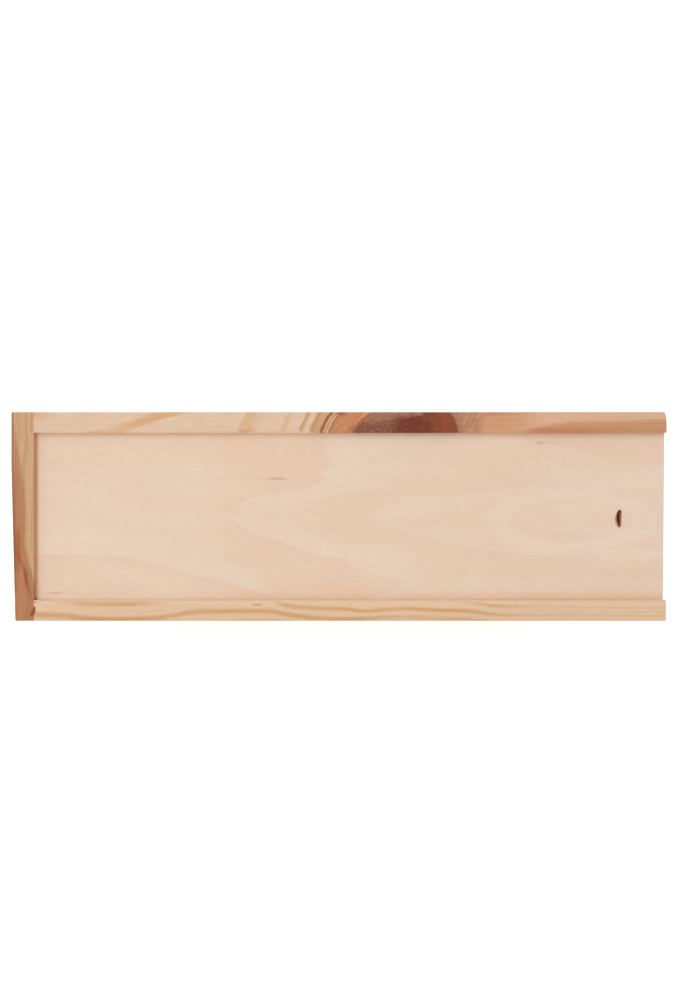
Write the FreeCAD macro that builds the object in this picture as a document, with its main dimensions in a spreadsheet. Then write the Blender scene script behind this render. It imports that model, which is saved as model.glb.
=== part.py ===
"""A long pine box with a sliding plywood lid, long and deep enough for one bottle or a roll of papers.

The sides are pine boards ploughed with two grooves from end to end, one near the top edge and one near
the bottom edge. The plywood bottom is captive in the lower grooves, which go on round both ends. The lid
runs in the upper grooves and leaves over the open end, whose board stops just under it. The closed end
covers the ends of the sides, so its grooves are stopped and don't show outside. The open end stands
between the sides, and round wire nails hold the four corners.

Frame, in millimetres: origin under the middle of the box on the surface it stands on, +X towards the
open end, +Y towards the far side, +Z up.
"""

import FreeCAD, Part
import math
import os
import Sketcher

doc = FreeCAD.newDocument("sliding_lid_box")

# Driving dimensions: alias, millimetres (degrees for the lean, a plain count for the nails), meaning.
SIZES = (
    ("box_length", 350, "outside length, closed end to open end"),
    ("box_width", 111.5, "outside width over both sides"),
    ("box_height", 100, "outside height, standing surface to top edges"),
    ("board", 11, "thickness of the two sides and the open end"),
    ("end_thick", 12, "thickness of the closed end, planed a little less than the rest"),
    ("lip", 4, "wood left between a groove and the nearest edge of its board"),
    ("groove_depth", 5, "depth ploughed into the inner face of a board"),
    ("lid_thick", 4, "thickness of the plywood lid"),
    ("lid_lift", 0.3, "running clearance over the lid in its groove"),
    ("lid_side_play", 0.6, "gap between a long edge of the lid and the groove's bottom"),
    ("lid_end_play", 0.8, "gap between the lid's back edge and the bottom of the closed end's groove"),
    ("bottom_thick", 4, "thickness of the plywood bottom"),
    ("bottom_lift", 0.3, "clearance over the bottom panel in its groove"),
    ("bottom_play", 0.5, "gap between each edge of the bottom panel and its groove's bottom"),
    ("open_end_setback", 0.35, "how far the open end stands back from the ends of the sides"),
    ("open_end_gap", 0.2, "gap between the open end's top edge and the lid passing over it"),
    ("arris", 0.4, "chamfer sanded on the outside edges of the boards"),
    ("lid_arris", 0.25, "chamfer sanded on the edges of the lid"),
    ("skew_cut", 2.1, "thickness sanded off the closed end at its near corner"),
    ("skew_run", 83, "width of the closed end over which that sanding tapers out"),
    ("near_side_short", 0.4, "how much shorter than the far side the near side was sawn"),
    ("lid_out_of_square", 0.85, "how far the lid's front edge runs back on its way to the near side"),
    ("end_round_radius", 12.5, "radius sanded on the far side's outer corner at the open end"),
    ("end_round_run", 5, "width of the far side's end that the radius takes"),
    ("notch_width", 12.2, "straight edge of the half-moon nail notch"),
    ("notch_arch", 3.3, "height of the half-moon's arc over its straight edge"),
    ("notch_depth", 2.6, "depth of the notch below the lid's top"),
    ("notch_setback", 23.2, "lid's front edge to the straight edge of the notch"),
    ("notch_off_centre", 1.3, "how far the notch sits from the lid's centre line, towards the near side"),
    ("notch_lean", 3, "turn of the notch out of square"),
    ("notch_horn", 1, "radius in the two horns of the notch"),
    ("nail_length", 28, "length of a wire nail, head included"),
    ("nail_radius", 0.7, "radius of a nail's shank"),
    ("nail_point", 2, "length of a nail's point"),
    ("head_radius", 1.4, "radius of a nail's flat head"),
    ("head_thick", 0.7, "thickness of a nail's head"),
    ("nail_set", 0.25, "how far a head is driven below the wood"),
    ("nail_count", 3, "nails in one corner"),
    ("nail_inset", 22, "height of the first nail, and distance of the last from the top"),
)

sizes = doc.addObject("Spreadsheet::Sheet", "sizes")
for row, (alias, size, meaning) in enumerate(SIZES, start=1):
    sizes.set(f"A{row}", meaning)
    sizes.set(f"B{row}", str(size))
    sizes.setAlias(f"B{row}", alias)
doc.recompute()

# Places worked out from the driving dimensions, as expressions that the features are bound to.
BOARD = "sizes.board"
END_BOARD = "sizes.end_thick"
HALF_LENGTH = "sizes.box_length / 2"
HALF_WIDTH = "sizes.box_width / 2"
INNER_WIDTH = "(sizes.box_width - 2 * sizes.board)"
SIDE_LENGTH = "(sizes.box_length - sizes.end_thick)"
GROOVE_FLOOR = "(sizes.board - sizes.groove_depth)"
END_GROOVE_FLOOR = "(sizes.end_thick - sizes.groove_depth)"
STOPPED_LENGTH = f"({INNER_WIDTH} + 2 * sizes.groove_depth)"
LID_GROOVE_TOP = "(sizes.box_height - sizes.lip)"
LID_SEAT = f"({LID_GROOVE_TOP} - sizes.lid_lift - sizes.lid_thick)"
BOTTOM_GROOVE_TOP = "(sizes.lip + sizes.bottom_thick + sizes.bottom_lift)"
OPEN_FACE = "(sizes.box_length / 2 - sizes.open_end_setback)"
NAIL_SPAN = "(sizes.box_height - 2 * sizes.nail_inset)"
NAIL_LINE = f"({HALF_WIDTH} - sizes.board / 2)"
OPEN_NAIL_LINE = f"{OPEN_FACE} - sizes.board / 2"
SKEW_AT_NAILS = "sizes.skew_cut * (1 - sizes.board / 2 / sizes.skew_run)"
FAR_SINK = "sizes.nail_set"
NEAR_SINK = f"(sizes.nail_set + {SKEW_AT_NAILS})"

FAR = -1  # inward direction of the far side's own Y
NEAR = 1  # inward direction of the near side's own Y
TOUCH = 1e-4  # two points closer than this are the same point


def number(expression):
    """The present value of an expression, for drawing geometry where its constraints will hold it."""
    return float(sizes.evalExpression(str(expression)))


def new_body(name, x="0", y="0", z="0", turn=0.0):
    """A part of the box with its own frame, turned about Z and standing at three expressions."""
    body = doc.addObject("PartDesign::Body", name)
    body.Label = name
    body.Placement = FreeCAD.Placement(FreeCAD.Vector(), FreeCAD.Rotation(FreeCAD.Vector(0, 0, 1), turn))
    for axis, place in zip("xyz", (x, y, z)):
        body.setExpression(f"Placement.Base.{axis}", str(place))
    return body


def origin_part(body, role):
    """One of the body's own origin planes or axes, such as XY_Plane or Z_Axis."""
    return next(part for part in body.Origin.OriginFeatures if part.Role == role)


def sketch_on(body, plane, name, lift="0"):
    """A sketch on an origin plane of the body, moved along the plane's normal by an expression."""
    sketch = body.newObject("Sketcher::SketchObject", name)
    sketch.AttachmentSupport = [(origin_part(body, plane), "")]
    sketch.MapMode = "FlatFace"
    sketch.setExpression("AttachmentOffset.Base.z", lift)
    return sketch


def hold(sketch, geometry, point, across=None, up=None):
    """Holds a point of the sketch at expressions measured from the sketch's origin."""
    for kind, place in (("DistanceX", across), ("DistanceY", up)):
        if place is not None:
            datum = Sketcher.Constraint(kind, -1, 1, geometry, point, number(place))
            sketch.setExpression(f"Constraints[{sketch.addConstraint(datum)}]", place)


def polygon(sketch, corners):
    """Draws a closed outline through corners given as pairs of expressions, each corner held in place."""
    points = [FreeCAD.Vector(number(across), number(up), 0) for across, up in corners]
    lines = [
        sketch.addGeometry(Part.LineSegment(start, points[(k + 1) % len(points)]), False)
        for k, start in enumerate(points)
    ]
    for k, line in enumerate(lines):
        sketch.addConstraint(Sketcher.Constraint("Coincident", line, 2, lines[(k + 1) % len(lines)], 1))
    for line, (across, up) in zip(lines, corners):
        hold(sketch, line, 1, across, up)


def rectangle(sketch, left, right, low, high):
    """Draws a rectangle between four expressions."""
    polygon(sketch, ((left, low), (right, low), (right, high), (left, high)))


def pad(body, sketch, length, both_ways=False):
    """Pads a sketch by an expression, along its plane's normal or equally both ways."""
    made = body.newObject("PartDesign::Pad", sketch.Name + "_pad")
    made.Profile = sketch
    made.SideType = "Symmetric" if both_ways else "One side"
    made.setExpression("Length", length)
    body.Tip = made
    return made


def pocket(body, sketch, depth=None, along_normal=False):
    """Cuts a sketch out of the body: right through both ways, or to a depth on one side of its plane."""
    made = body.newObject("PartDesign::Pocket", sketch.Name + "_cut")
    made.Profile = sketch
    if depth is None:
        made.Type = "ThroughAll"
        made.SideType = "Symmetric"
    else:
        made.Type = "Length"
        made.SideType = "One side"
        made.Reversed = along_normal
        made.setExpression("Length", depth)
    body.Tip = made
    return made


def plough(body, sketch, length):
    """Cuts a groove's section to an expression of length, equally both ways from its plane."""
    made = pocket(body, sketch, length)
    made.SideType = "Symmetric"
    return made


def repeat_up(body, cuts, name):
    """Repeats nail features up the body, one for each nail of a corner."""
    made = body.newObject("PartDesign::LinearPattern", name)
    made.Originals = cuts
    made.Direction = (origin_part(body, "Z_Axis"), [""])
    made.setExpression("Length", NAIL_SPAN)
    made.setExpression("Occurrences", "sizes.nail_count")
    body.Tip = made
    return made


def drill(body, plane, name, face, across, radius, depth, along_normal):
    """A round hole for the first nail of a column, cut from a plane that stands at the expression face."""
    sketch = sketch_on(body, plane, name, face)
    centre = FreeCAD.Vector(number(across), number("sizes.nail_inset"), 0)
    circle = sketch.addGeometry(Part.Circle(centre, FreeCAD.Vector(0, 0, 1), number(radius)), False)
    hold(sketch, circle, 3, across, "sizes.nail_inset")
    size = sketch.addConstraint(Sketcher.Constraint("Radius", circle, number(radius)))
    sketch.setExpression(f"Constraints[{size}]", radius)
    return pocket(body, sketch, depth, along_normal)


def ease(body, size, wanted, name, rounded=False):
    """Chamfers, or rounds, the edges of the body whose two end points pass the test."""
    doc.recompute()
    base = body.Tip
    edges = [
        f"Edge{k}"
        for k, edge in enumerate(base.Shape.Edges, start=1)
        if len(edge.Vertexes) == 2 and wanted(*(vertex.Point for vertex in edge.Vertexes))
    ]
    made = body.newObject("PartDesign::Fillet" if rounded else "PartDesign::Chamfer", name)
    made.Base = (base, edges)
    made.setExpression("Radius" if rounded else "Size", size)
    body.Tip = made
    return made


def near_to(value, target):
    return abs(value - target) < TOUCH


def side_board(name, inward, length, sink):
    """A long side. Its frame starts at the closed end, at the foot of the outer face; X runs along it."""
    body = new_body(name, f"-{HALF_LENGTH} + sizes.end_thick", f"{-inward} * {HALF_WIDTH}")
    inner_face = f"{inward} * sizes.board"
    groove_floor = f"{inward} * {GROOVE_FLOOR}"

    blank = sketch_on(body, "YZ_Plane", name + "_blank")
    rectangle(blank, "0", inner_face, "0", "sizes.box_height")
    pad(body, blank, length)
    lid_groove = sketch_on(body, "YZ_Plane", name + "_lid_groove")
    rectangle(lid_groove, groove_floor, inner_face, LID_SEAT, LID_GROOVE_TOP)
    pocket(body, lid_groove)
    bottom_groove = sketch_on(body, "YZ_Plane", name + "_bottom_groove")
    rectangle(bottom_groove, groove_floor, inner_face, "sizes.lip", BOTTOM_GROOVE_TOP)
    pocket(body, bottom_groove)

    if inward == FAR:
        round_outer_corner(body, name + "_end_rounding")

    # End grain at the closed end takes the points of that end's nails.
    grip = f"{sink} + sizes.nail_length - sizes.end_thick"
    across = f"{inward} * sizes.board / 2"
    pilot = drill(body, "YZ_Plane", name + "_end_pilot", "0", across, "sizes.nail_radius", grip, True)
    repeat_up(body, [pilot], name + "_end_pilots")

    # Nails for the open end pass through the side from its outer face; XZ_Plane's normal points to -Y.
    across = f"{SIDE_LENGTH} - sizes.open_end_setback - sizes.board / 2"
    recess_depth = "sizes.nail_set + sizes.head_thick"
    far = inward == FAR
    recess = drill(body, "XZ_Plane", name + "_head", "0", across, "sizes.head_radius", recess_depth, far)
    shank = drill(body, "XZ_Plane", name + "_shank", "0", across, "sizes.nail_radius", BOARD, far)
    repeat_up(body, [recess, shank], name + "_nail_holes")

    def outside(start, end):
        """Edges of the top and foot, and the outer upright at the open end, but none at the butted end."""
        butted = near_to(start.x, 0) and near_to(end.x, 0)
        level = near_to(start.z, end.z)
        at_edge = near_to(start.z, 0) or near_to(start.z, number("sizes.box_height"))
        upright = not level and near_to(start.y, 0) and near_to(end.y, 0)
        square_end = near_to(start.x, number(length)) and near_to(end.x, number(length))
        return not butted and ((level and at_edge) or (upright and square_end))

    ease(body, "sizes.arris", outside, name + "_arrises")
    return body


def round_outer_corner(body, name):
    """Sands the far side's outer corner at the open end to an arc that runs out tangent to the end face."""
    sketch = sketch_on(body, "XY_Plane", name)
    radius, run = "sizes.end_round_radius", "sizes.end_round_run"
    centre = (f"{SIDE_LENGTH} - {radius}", f"-{run}")
    leave = (f"{SIDE_LENGTH} - {radius} + sqrt({radius} ^ 2 - {run} ^ 2)", "0")
    spot = FreeCAD.Vector(number(centre[0]), number(centre[1]), 0)
    circle = Part.Circle(spot, FreeCAD.Vector(0, 0, 1), number(radius))
    stop_angle = math.asin(number(run) / number(radius))
    arc = sketch.addGeometry(Part.ArcOfCircle(circle, 0, stop_angle), False)
    corner = FreeCAD.Vector(number(SIDE_LENGTH), 0, 0)
    start = FreeCAD.Vector(corner.x, number(centre[1]), 0)
    stop = FreeCAD.Vector(number(leave[0]), 0, 0)
    face = sketch.addGeometry(Part.LineSegment(stop, corner), False)
    end = sketch.addGeometry(Part.LineSegment(corner, start), False)
    sketch.addConstraint(Sketcher.Constraint("Coincident", arc, 2, face, 1))
    sketch.addConstraint(Sketcher.Constraint("Coincident", face, 2, end, 1))
    sketch.addConstraint(Sketcher.Constraint("Coincident", end, 2, arc, 1))
    hold(sketch, arc, 3, *centre)
    hold(sketch, face, 1, *leave)
    hold(sketch, face, 2, SIDE_LENGTH, "0")
    hold(sketch, end, 2, up=centre[1])
    pocket(body, sketch)


def closed_end_board():
    """The end that covers the sides. Its frame has X = 0 in its outer face and Y = 0 in its middle."""
    name = "closed_end"
    body = new_body(name, f"-{HALF_LENGTH}")
    blank = sketch_on(body, "XY_Plane", name + "_blank")
    rectangle(blank, "0", "sizes.end_thick", f"-{HALF_WIDTH}", HALF_WIDTH)
    pad(body, blank, "sizes.box_height")
    lid_groove = sketch_on(body, "XZ_Plane", name + "_lid_groove")
    rectangle(lid_groove, END_GROOVE_FLOOR, "sizes.end_thick", LID_SEAT, LID_GROOVE_TOP)
    plough(body, lid_groove, STOPPED_LENGTH)
    bottom_groove = sketch_on(body, "XZ_Plane", name + "_bottom_groove")
    rectangle(bottom_groove, END_GROOVE_FLOOR, "sizes.end_thick", "sizes.lip", BOTTOM_GROOVE_TOP)
    plough(body, bottom_groove, STOPPED_LENGTH)

    taper = sketch_on(body, "XY_Plane", name + "_sanding")
    edge = f"-{HALF_WIDTH}"
    polygon(taper, (("0", edge), ("sizes.skew_cut", edge), ("0", f"{edge} + sizes.skew_run")))
    pocket(body, taper)

    for stem, side, sink in ((name + "_far", 1, FAR_SINK), (name + "_near", -1, NEAR_SINK)):
        across = f"{side} * {NAIL_LINE}"
        seat = f"{sink} + sizes.head_thick"
        recess = drill(body, "YZ_Plane", stem + "_head", "0", across, "sizes.head_radius", seat, True)
        shank = drill(body, "YZ_Plane", stem + "_shank", "0", across, "sizes.nail_radius", END_BOARD, True)
        repeat_up(body, [recess, shank], stem + "_nail_holes")

    def outside(start, end):
        """Edges of the top, the foot and the two outer corners, but none along the inner face."""
        inner = near_to(start.x, number(END_BOARD)) and near_to(end.x, number(END_BOARD))
        top = all(near_to(point.z, number("sizes.box_height")) for point in (start, end))
        foot = all(near_to(point.z, 0) for point in (start, end))
        at_ends = near_to(abs(start.y), number(HALF_WIDTH)) and near_to(start.y, end.y)
        corner = at_ends and start.x < number(END_GROOVE_FLOOR) and near_to(start.x, end.x)
        return not inner and (top or foot or corner)

    ease(body, "sizes.arris", outside, name + "_arrises")
    return body


def open_end_board():
    """The low end between the sides. Its frame has X = 0 in its outer face and the board towards -X."""
    name = "open_end"
    body = new_body(name, OPEN_FACE)
    top = f"{LID_SEAT} - sizes.open_end_gap"
    blank = sketch_on(body, "XZ_Plane", name + "_blank")
    rectangle(blank, "-sizes.board", "0", "0", top)
    pad(body, blank, INNER_WIDTH, both_ways=True)
    groove = sketch_on(body, "XZ_Plane", name + "_bottom_groove")
    rectangle(groove, "-sizes.board", f"-{GROOVE_FLOOR}", "sizes.lip", BOTTOM_GROOVE_TOP)
    pocket(body, groove)

    grip = "sizes.nail_set + sizes.nail_length - sizes.board"
    for corner, side in (("far", 1), ("near", -1)):
        face = f"{-side} * {INNER_WIDTH} / 2"
        stem = f"{name}_{corner}_pilot"
        pilot = drill(body, "XZ_Plane", stem, face, "-sizes.board / 2", "sizes.nail_radius", grip, side > 0)
        repeat_up(body, [pilot], stem + "s")

    def long_edges(start, end):
        """The two long edges of the top."""
        return all(near_to(point.z, number(top)) for point in (start, end)) and near_to(start.x, end.x)

    ease(body, "sizes.arris", long_edges, name + "_arrises")
    return body


def bottom_panel():
    """The plywood bottom, captive in the four lower grooves and resting on their floors."""
    name = "bottom_panel"
    closed_edge = f"-{HALF_LENGTH} + {END_GROOVE_FLOOR} + sizes.bottom_play"
    open_edge = f"{OPEN_FACE} - {GROOVE_FLOOR} - sizes.bottom_play"
    half = f"({INNER_WIDTH} / 2 + sizes.groove_depth - sizes.bottom_play)"
    body = new_body(name, z="sizes.lip")
    blank = sketch_on(body, "XY_Plane", name + "_blank")
    rectangle(blank, closed_edge, open_edge, f"-{half}", half)
    pad(body, blank, "sizes.bottom_thick")
    return body


def sliding_lid():
    """The plywood lid. Its frame has X = 0 in its front edge, Y = 0 in its middle and Z = 0 underneath."""
    name = "sliding_lid"
    body = new_body(name, OPEN_FACE, z=LID_SEAT)
    back = f"-({OPEN_FACE} + {HALF_LENGTH} - {END_GROOVE_FLOOR} - sizes.lid_end_play)"
    half = f"({INNER_WIDTH} / 2 + sizes.groove_depth - sizes.lid_side_play)"
    blank = sketch_on(body, "XY_Plane", name + "_blank")
    near_front = ("-sizes.lid_out_of_square", f"-{half}")
    polygon(blank, ((back, f"-{half}"), near_front, ("0", half), (back, half)))
    pad(body, blank, "sizes.lid_thick")

    def rim(start, end):
        """Every edge of the plain panel."""
        return start != end

    ease(body, "sizes.lid_arris", rim, name + "_arrises")
    nail_notch(body, name + "_notch")
    return body


def nail_notch(body, name):
    """Sinks the half-moon for a fingernail into the lid's top, round towards the closed end."""
    sketch = sketch_on(body, "XY_Plane", name, "sizes.lid_thick")
    lean = FreeCAD.Rotation(FreeCAD.Vector(0, 0, -1), number("sizes.notch_lean"))
    lift = number("sizes.lid_thick")
    middle = FreeCAD.Vector(-number("sizes.notch_setback"), -number("sizes.notch_off_centre"), lift)
    sketch.AttachmentOffset = FreeCAD.Placement(middle, lean)
    sketch.setExpression("AttachmentOffset.Base.x", "-sizes.notch_setback")
    sketch.setExpression("AttachmentOffset.Base.y", "-sizes.notch_off_centre")
    sketch.setExpression("AttachmentOffset.Rotation.Angle", "sizes.notch_lean")

    # The straight edge lies on the sketch's Y axis; the arc through its two ends bulges towards -X.
    half_chord = "sizes.notch_width / 2"
    centre_across = "(sizes.notch_width ^ 2 / 4 - sizes.notch_arch ^ 2) / (2 * sizes.notch_arch)"
    centre_x, half = number(centre_across), number(half_chord)
    radius = math.hypot(centre_x, half)
    first = math.atan2(half, -centre_x)
    circle = Part.Circle(FreeCAD.Vector(centre_x, 0, 0), FreeCAD.Vector(0, 0, 1), radius)
    arc = sketch.addGeometry(Part.ArcOfCircle(circle, first, 2 * math.pi - first), False)
    upper, lower = FreeCAD.Vector(0, half, 0), FreeCAD.Vector(0, -half, 0)
    chord = sketch.addGeometry(Part.LineSegment(lower, upper), False)
    sketch.addConstraint(Sketcher.Constraint("Coincident", arc, 2, chord, 1))
    sketch.addConstraint(Sketcher.Constraint("Coincident", chord, 2, arc, 1))
    hold(sketch, arc, 3, centre_across, "0")
    hold(sketch, chord, 1, "0", f"-{half_chord}")
    hold(sketch, chord, 2, "0")
    pocket(body, sketch, "sizes.notch_depth")

    def horn(start, end):
        """The two uprights where the arc meets the straight edge."""
        reach = FreeCAD.Vector(start.x, start.y, middle.z).distanceToPoint(middle)
        return not near_to(start.z, end.z) and near_to(reach, half)

    ease(body, "sizes.notch_horn", horn, name + "_horns", rounded=True)


def nail_column(name, x, y, turn):
    """The wire nails of one corner, heads at X = 0 of their own frame and points towards its +X."""
    body = new_body(name, x, y, turn=turn)
    body.AllowCompound = True
    profile = sketch_on(body, "XY_Plane", name + "_profile")
    profile.setExpression("AttachmentOffset.Base.z", "sizes.nail_inset")
    shoulder = "sizes.nail_length - sizes.nail_point"
    polygon(
        profile,
        (
            ("0", "0"),
            ("sizes.nail_length", "0"),
            (shoulder, "sizes.nail_radius"),
            ("sizes.head_thick", "sizes.nail_radius"),
            ("sizes.head_thick", "sizes.head_radius"),
            ("0", "sizes.head_radius"),
        ),
    )
    turned = body.newObject("PartDesign::Revolution", name + "_turned")
    turned.Profile = profile
    turned.ReferenceAxis = (profile, ["H_Axis"])
    turned.Angle = 360
    body.Tip = turned
    repeat_up(body, [turned], name + "_column")
    return body


parts = [
    side_board("far_side", FAR, SIDE_LENGTH, FAR_SINK),
    side_board("near_side", NEAR, f"({SIDE_LENGTH} - sizes.near_side_short)", NEAR_SINK),
    closed_end_board(),
    open_end_board(),
    bottom_panel(),
    sliding_lid(),
    nail_column("closed_end_far_nails", f"-{HALF_LENGTH} + {FAR_SINK}", NAIL_LINE, 0),
    nail_column("closed_end_near_nails", f"-{HALF_LENGTH} + {NEAR_SINK}", f"-{NAIL_LINE}", 0),
    nail_column("open_end_far_nails", OPEN_NAIL_LINE, f"{HALF_WIDTH} - sizes.nail_set", -90),
    nail_column("open_end_near_nails", OPEN_NAIL_LINE, f"-{HALF_WIDTH} + sizes.nail_set", 90),
]
doc.recompute()

failed = [made.Name for made in doc.Objects if {"Invalid", "Error"} & set(made.State)]
if failed:
    raise RuntimeError(f"these objects did not build: {failed}")
for part in parts:
    if part.Shape.isNull() or not part.Shape.isValid():
        raise RuntimeError(f"{part.Label} has no valid shape")

os.makedirs("parts", exist_ok=True)
for part in parts:
    part.Shape.exportStep(f"parts/{part.Label}.step")
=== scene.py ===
import math

import bmesh
import bpy
from mathutils import Matrix, Vector


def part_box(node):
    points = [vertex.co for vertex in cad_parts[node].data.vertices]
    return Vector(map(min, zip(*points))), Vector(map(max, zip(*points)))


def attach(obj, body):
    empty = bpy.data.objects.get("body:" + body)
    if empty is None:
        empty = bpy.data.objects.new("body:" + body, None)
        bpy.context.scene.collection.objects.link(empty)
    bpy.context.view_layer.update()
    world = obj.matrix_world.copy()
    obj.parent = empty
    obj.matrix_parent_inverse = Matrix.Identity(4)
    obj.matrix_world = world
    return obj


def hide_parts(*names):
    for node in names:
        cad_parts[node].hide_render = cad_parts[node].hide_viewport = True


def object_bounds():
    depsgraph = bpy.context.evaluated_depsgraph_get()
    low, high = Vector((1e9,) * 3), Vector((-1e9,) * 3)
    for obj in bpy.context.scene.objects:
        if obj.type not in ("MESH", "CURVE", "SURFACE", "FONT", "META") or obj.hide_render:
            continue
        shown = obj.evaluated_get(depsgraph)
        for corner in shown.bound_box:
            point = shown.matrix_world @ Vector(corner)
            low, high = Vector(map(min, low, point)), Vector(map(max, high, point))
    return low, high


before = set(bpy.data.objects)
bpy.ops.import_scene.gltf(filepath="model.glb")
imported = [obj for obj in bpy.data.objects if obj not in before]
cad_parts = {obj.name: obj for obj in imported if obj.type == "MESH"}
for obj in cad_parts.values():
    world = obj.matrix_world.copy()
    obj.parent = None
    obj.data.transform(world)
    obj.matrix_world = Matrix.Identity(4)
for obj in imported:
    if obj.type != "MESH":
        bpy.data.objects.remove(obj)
cad_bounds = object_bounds()


# Far side. A planed pine board, 338 by 100 by 11 mm, ploughed with two grooves and sawn so that a branch
# left a big dark spike knot in its top edge. Its grain runs along the box and bends round the knot, and
# its outer corner at the open end was rounded by the sander. It is nailed to both ends.


class Amount:
    """A number or colour that varies over a surface: an output of a finish's nodes, with arithmetic."""

    def __init__(self, finish, socket):
        self.finish = finish
        self.socket = socket

    def __add__(self, other):
        return self.finish.work_out("ADD", self, other)

    def __sub__(self, other):
        return self.finish.work_out("SUBTRACT", self, other)

    def __rsub__(self, other):
        return self.finish.work_out("SUBTRACT", other, self)

    def __mul__(self, other):
        return self.finish.work_out("MULTIPLY", self, other)

    def __truediv__(self, other):
        return self.finish.work_out("DIVIDE", self, other)

    def __rtruediv__(self, other):
        return self.finish.work_out("DIVIDE", other, self)

    def __pow__(self, other):
        return self.finish.work_out("POWER", self, other)

    def __abs__(self):
        return self.finish.work_out("ABSOLUTE", self)

    def at_least(self, other):
        return self.finish.work_out("MAXIMUM", self, other)

    def at_most(self, other):
        return self.finish.work_out("MINIMUM", self, other)

    def whole(self):
        """The whole number below, such as a ring's number from its place."""
        return self.finish.work_out("FLOOR", self)

    def fraction(self):
        """What is left over that whole number, from 0 to 1."""
        return self.finish.work_out("FRACT", self)

    __radd__ = __add__
    __rmul__ = __mul__


class Finish:
    """A material in the making. Places on the piece are in millimetres, in the box's own frame."""

    def __init__(self, name, roughness, specular=0.3):
        self.material = bpy.data.materials.new(name)
        self.material.use_nodes = True
        self.tree = self.material.node_tree
        self.surface = self.tree.nodes["Principled BSDF"]
        self.surface.inputs["Roughness"].default_value = roughness
        self.surface.inputs["Specular IOR Level"].default_value = specular
        place = self.node("TexCoord").outputs["Object"]
        in_mm = self.node("VectorMath", {0: Amount(self, place), "Scale": 1000}, operation="SCALE")
        axes = self.node("SeparateXYZ", {"Vector": Amount(self, in_mm.outputs[0])})
        self.x, self.y, self.z = (Amount(self, axis) for axis in axes.outputs)
        facing = self.node("NewGeometry").outputs["True Normal"]
        sides = self.node("SeparateXYZ", {"Vector": Amount(self, facing)})
        self.facing = [Amount(self, side) for side in sides.outputs]

    def node(self, kind, inputs=(), **settings):
        """Adds a node. Each of its inputs is a plain value or an Amount."""
        made = self.tree.nodes.new("ShaderNode" + kind)
        for name, setting in settings.items():
            setattr(made, name, setting)
        for key, value in dict(inputs).items():
            if isinstance(value, Amount):
                self.tree.links.new(value.socket, made.inputs[key])
            else:
                made.inputs[key].default_value = value
        return made

    def work_out(self, operation, *values):
        made = self.node("Math", enumerate(values), operation=operation)
        return Amount(self, made.outputs[0])

    def unevenness(self, x, y, z, detail=2.0, seed=0.0):
        """Smooth random waves between 0 and 1, one wave to each unit of x, y and z."""
        place = self.node("CombineXYZ", enumerate((x, y, z))).outputs[0]
        waves = {"W": seed, "Vector": Amount(self, place), "Scale": 1.0, "Detail": detail}
        return Amount(self, self.node("TexNoise", waves, noise_dimensions="4D").outputs[0])

    def step(self, value, low, high):
        """Eases from 0 where value is at low to 1 where it is at high, either way round."""
        ends = {"Value": value, "From Min": low, "From Max": high}
        made = self.node("MapRange", ends, interpolation_type="SMOOTHSTEP")
        return Amount(self, made.outputs[0])

    def between(self, value, low, high, ease):
        """1 where value lies between low and high, easing to 0 outside them."""
        return self.step(value, low - ease, low + ease) * self.step(value, high + ease, high - ease)

    def stripe(self, value, middle, reach):
        """1 where value is at middle, fading to 0 at a distance of reach."""
        return self.step(abs(value - middle), reach, 0.25 * reach)

    def curve(self, value, start, stop, points):
        """A smooth curve through points: each a share of the way from start to stop, and a height 0 to 1."""
        share = self.node("MapRange", {"Value": value, "From Min": start, "From Max": stop})
        made = self.node("FloatCurve", {"Value": Amount(self, share.outputs[0])})
        line = made.mapping.curves[0]
        for point, (place, height) in zip((line.points[0], line.points[-1]), (points[0], points[-1])):
            point.location = (place, height)
        for place, height in points[1:-1]:
            line.points.new(place, height)
        made.mapping.update()
        return Amount(self, made.outputs[0])

    def blend(self, share, first, second, how="MIX"):
        """Goes from the first colour to the second as share goes from 0 to 1."""
        parts = {0: share, 6: first, 7: second}
        made = self.node("Mix", parts, data_type="RGBA", blend_type=how, clamp_result=False)
        return Amount(self, made.outputs[2])

    def layers(self, colour, *layers):
        """Lays colours over the first, one after the other. Each is a share and a colour."""
        for share, layer in layers:
            colour = self.blend(share, colour, layer)
        return colour

    def shaded_with(self, share, colour, dye):
        """A colour multiplied by a second colour over a share of it, which here paints shade."""
        return self.blend(share, colour, self.blend(1.0, colour, dye, "MULTIPLY"))

    def shade(self, colour, amount):
        """A colour made lighter or darker by an amount, 1 leaving it as it is."""
        made = self.node("VectorMath", {0: colour, "Scale": amount}, operation="SCALE")
        return Amount(self, made.outputs[0])

    def relief(self, height, strength):
        """Raises the surface by an amount in millimetres."""
        inputs = {"Height": height, "Distance": 0.001, "Strength": strength}
        made = self.node("Bump", inputs)
        self.tree.links.new(made.outputs[0], self.surface.inputs["Normal"])

    def paint(self, colour):
        self.tree.links.new(colour.socket, self.surface.inputs["Base Color"])
        return self.material


def tone(red, green, blue):
    """A colour from its 0 to 255 screen values, in the linear light that materials work in."""

    def linear(level):
        level = level / 255
        return level / 12.92 if level <= 0.04045 else ((level + 0.055) / 1.055) ** 2.4

    return (linear(red), linear(green), linear(blue), 1.0)


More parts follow.
